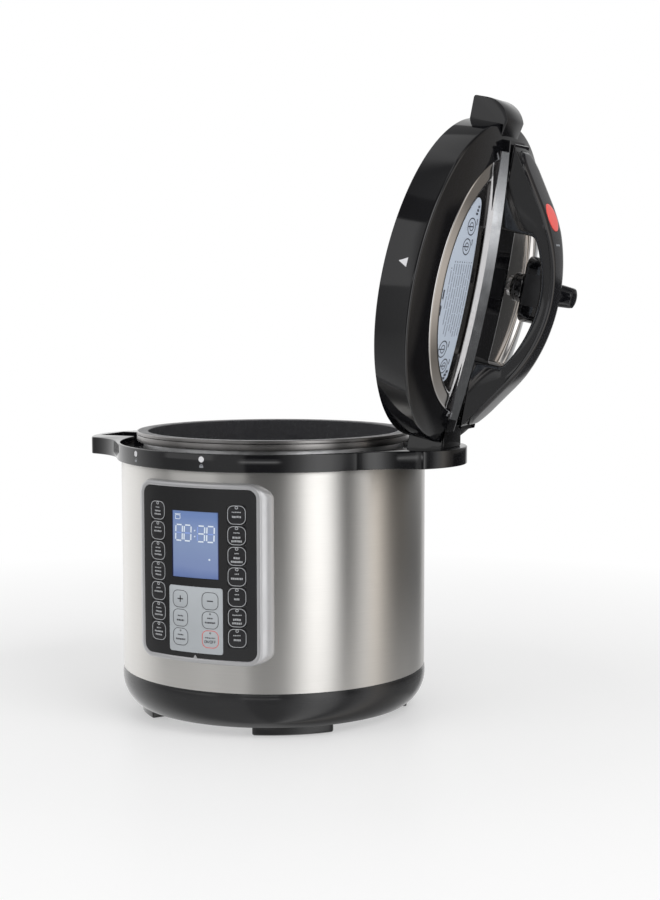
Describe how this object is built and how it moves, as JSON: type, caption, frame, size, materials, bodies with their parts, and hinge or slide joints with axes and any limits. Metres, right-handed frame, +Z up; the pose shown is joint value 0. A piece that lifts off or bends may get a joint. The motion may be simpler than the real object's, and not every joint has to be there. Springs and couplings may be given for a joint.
{
  "type": "electric pressure cooker",
  "caption": "Electric pressure cooker with a lift-out pot, a keypad on its curved front and its arched-handle lid parked upright in a side handle.",
  "frame": {"origin": "middle of the bounding box's underside, on the surface the feet stand on", "axes": "+Z up, control panel towards -Y, lid parked on the +X side handle"},
  "size_m": [0.4694, 0.312, 0.5579],
  "materials": {
    "shell_steel": "brushed around the body",
    "lid_steel": "satin",
    "black_gloss": "glossy",
    "black_matte": "satin",
    "pot_coating": "speckled non-stick",
    "aluminium": "satin",
    "silver_plastic": "silver satin",
    "pad_plastic": "pale grey satin",
    "key_plastic": "glossy",
    "display": "lit blue",
    "label_film": "pale blue film",
    "red_plastic": "translucent red",
    "silicone": "matte",
    "float_rubber": "matte",
    "circuit_board": "matte",
    "zinc_steel": "zinc plated",
    "spring_steel": "bright",
    "cup_plastic": "smoky translucent",
    "ceramic": "matte"
  },
  "bodies": {
    "body": {"base_ring": "black_matte", "bottom_plate": "black_matte", "feet": "black_matte", "base_screws": "zinc_steel", "body_wrap": "shell_steel", "collar": "black_gloss", "outer_pot": "aluminium", "support_frame": "zinc_steel", "heating_plate": "aluminium", "heating_tube": "zinc_steel", "sensor_spring": "spring_steel", "thermal_fuse": "ceramic", "pressure_switch": "ceramic", "power_board": "circuit_board", "control_board": "circuit_board", "panel_bezel": "silver_plastic", "panel_cover": "black_gloss", "panel_pad": "pad_plastic", "lcd_module": "display", "mains_inlet": "black_matte", "cup_bracket": "black_matte"},
    "pot": {"inner_pot": "pot_coating"},
    "sensor": {"sensor_button": "aluminium"},
    "cup": {"condensate_cup": "cup_plastic"},
    "lid": {"lid_cover": "black_gloss", "handle_body": "black_gloss", "lid_dome": "lid_steel", "lid_label": "label_film", "handle_cover": "black_gloss", "sealing_ring": "silicone", "seal_rack": "lid_steel", "rack_nut": "zinc_steel", "vent_pipe": "zinc_steel", "anti_block_cap": "lid_steel", "lid_screws": "zinc_steel"},
    "float": {"pressure_indicator": "red_plastic", "float_seal": "float_rubber"},
    "valve": {"steam_valve": "black_gloss"},
    "lock": {"lock_slider": "zinc_steel"},
    "key_left_1": {"key_left_1": "key_plastic"},
    "key_left_2": {"key_left_2": "key_plastic"},
    "key_left_3": {"key_left_3": "key_plastic"},
    "key_left_4": {"key_left_4": "key_plastic"},
    "key_left_5": {"key_left_5": "key_plastic"},
    "key_left_6": {"key_left_6": "key_plastic"},
    "key_left_7": {"key_left_7": "key_plastic"},
    "key_right_1": {"key_right_1": "key_plastic"},
    "key_right_2": {"key_right_2": "key_plastic"},
    "key_right_3": {"key_right_3": "key_plastic"},
    "key_right_4": {"key_right_4": "key_plastic"},
    "key_right_5": {"key_right_5": "key_plastic"},
    "key_right_6": {"key_right_6": "key_plastic"},
    "key_right_7": {"key_right_7": "key_plastic"},
    "key_pad_1": {"key_pad_1": "pad_plastic"},
    "key_pad_2": {"key_pad_2": "pad_plastic"},
    "key_pad_3": {"key_pad_3": "pad_plastic"},
    "key_pad_4": {"key_pad_4": "pad_plastic"},
    "key_pad_5": {"key_pad_5": "pad_plastic"},
    "key_pad_6": {"key_pad_6": "pad_plastic"}
  },
  "joints": [
    {"name": "lid_lift", "type": "slide", "parent": "body", "child": "lid", "axis": [0.1994, 0, 0.9799], "range_m": [0, 0.12]},
    {"name": "pot_lift", "type": "slide", "parent": "body", "child": "pot", "axis": [0, 0, 1], "range_m": [0, 0.2]},
    {"name": "sensor_press", "type": "slide", "parent": "body", "child": "sensor", "axis": [0, 0, -1], "range_m": [0, 0.003], "stiffness_N_per_m": 400, "springref_m": -0.001, "deforming": ["sensor_spring"]},
    {"name": "cup_pull", "type": "slide", "parent": "body", "child": "cup", "axis": [0, 1, 0], "range_m": [0, 0.06]},
    {"name": "indicator_rise", "type": "slide", "parent": "lid", "child": "float", "axis": [0.9799, 0, -0.1994], "range_m": [0, 0.004]},
    {"name": "valve_turn", "type": "hinge", "parent": "lid", "child": "valve", "pos_m": [0.1904, 0.038, 0.39112], "axis": [0.9799, 0, -0.1994], "range_deg": [0, 30]},
    {"name": "lock_slide", "type": "slide", "parent": "lid", "child": "lock", "axis": [0.1994, 0, 0.9799], "range_m": [0, 0.004]},
    {"name": "press_left_1", "type": "slide", "parent": "body", "child": "key_left_1", "axis": [0.2112, 0.9775, 0], "range_m": [0, 0.0005], "stiffness_N_per_m": 200},
    {"name": "press_left_2", "type": "slide", "parent": "body", "child": "key_left_2", "axis": [0.2112, 0.9775, 0], "range_m": [0, 0.0005], "stiffness_N_per_m": 200},
    {"name": "press_left_3", "type": "slide", "parent": "body", "child": "key_left_3", "axis": [0.2112, 0.9775, 0], "range_m": [0, 0.0005], "stiffness_N_per_m": 200},
    {"name": "press_left_4", "type": "slide", "parent": "body", "child": "key_left_4", "axis": [0.2112, 0.9775, 0], "range_m": [0, 0.0005], "stiffness_N_per_m": 200},
    {"name": "press_left_5", "type": "slide", "parent": "body", "child": "key_left_5", "axis": [0.2112, 0.9775, 0], "range_m": [0, 0.0005], "stiffness_N_per_m": 200},
    {"name": "press_left_6", "type": "slide", "parent": "body", "child": "key_left_6", "axis": [0.2112, 0.9775, 0], "range_m": [0, 0.0005], "stiffness_N_per_m": 200},
    {"name": "press_left_7", "type": "slide", "parent": "body", "child": "key_left_7", "axis": [0.2112, 0.9775, 0], "range_m": [0, 0.0005], "stiffness_N_per_m": 200},
    {"name": "press_right_1", "type": "slide", "parent": "body", "child": "key_right_1", "axis": [-0.2112, 0.9775, 0], "range_m": [0, 0.0005], "stiffness_N_per_m": 200},
    {"name": "press_right_2", "type": "slide", "parent": "body", "child": "key_right_2", "axis": [-0.2112, 0.9775, 0], "range_m": [0, 0.0005], "stiffness_N_per_m": 200},
    {"name": "press_right_3", "type": "slide", "parent": "body", "child": "key_right_3", "axis": [-0.2112, 0.9775, 0], "range_m": [0, 0.0005], "stiffness_N_per_m": 200},
    {"name": "press_right_4", "type": "slide", "parent": "body", "child": "key_right_4", "axis": [-0.2112, 0.9775, 0], "range_m": [0, 0.0005], "stiffness_N_per_m": 200},
    {"name": "press_right_5", "type": "slide", "parent": "body", "child": "key_right_5", "axis": [-0.2112, 0.9775, 0], "range_m": [0, 0.0005], "stiffness_N_per_m": 200},
    {"name": "press_right_6", "type": "slide", "parent": "body", "child": "key_right_6", "axis": [-0.2112, 0.9775, 0], "range_m": [0, 0.0005], "stiffness_N_per_m": 200},
    {"name": "press_right_7", "type": "slide", "parent": "body", "child": "key_right_7", "axis": [-0.2112, 0.9775, 0], "range_m": [0, 0.0005], "stiffness_N_per_m": 200},
    {"name": "press_pad_1", "type": "slide", "parent": "body", "child": "key_pad_1", "axis": [0.0797, 0.9968, 0], "range_m": [0, 0.0005], "stiffness_N_per_m": 200},
    {"name": "press_pad_2", "type": "slide", "parent": "body", "child": "key_pad_2", "axis": [0.0797, 0.9968, 0], "range_m": [0, 0.0005], "stiffness_N_per_m": 200},
    {"name": "press_pad_3", "type": "slide", "parent": "body", "child": "key_pad_3", "axis": [0.0797, 0.9968, 0], "range_m": [0, 0.0005], "stiffness_N_per_m": 200},
    {"name": "press_pad_4", "type": "slide", "parent": "body", "child": "key_pad_4", "axis": [-0.0797, 0.9968, 0], "range_m": [0, 0.0005], "stiffness_N_per_m": 200},
    {"name": "press_pad_5", "type": "slide", "parent": "body", "child": "key_pad_5", "axis": [-0.0797, 0.9968, 0], "range_m": [0, 0.0005], "stiffness_N_per_m": 200},
    {"name": "press_pad_6", "type": "slide", "parent": "body", "child": "key_pad_6", "axis": [-0.0797, 0.9968, 0], "range_m": [0, 0.0005], "stiffness_N_per_m": 200}
  ]
}
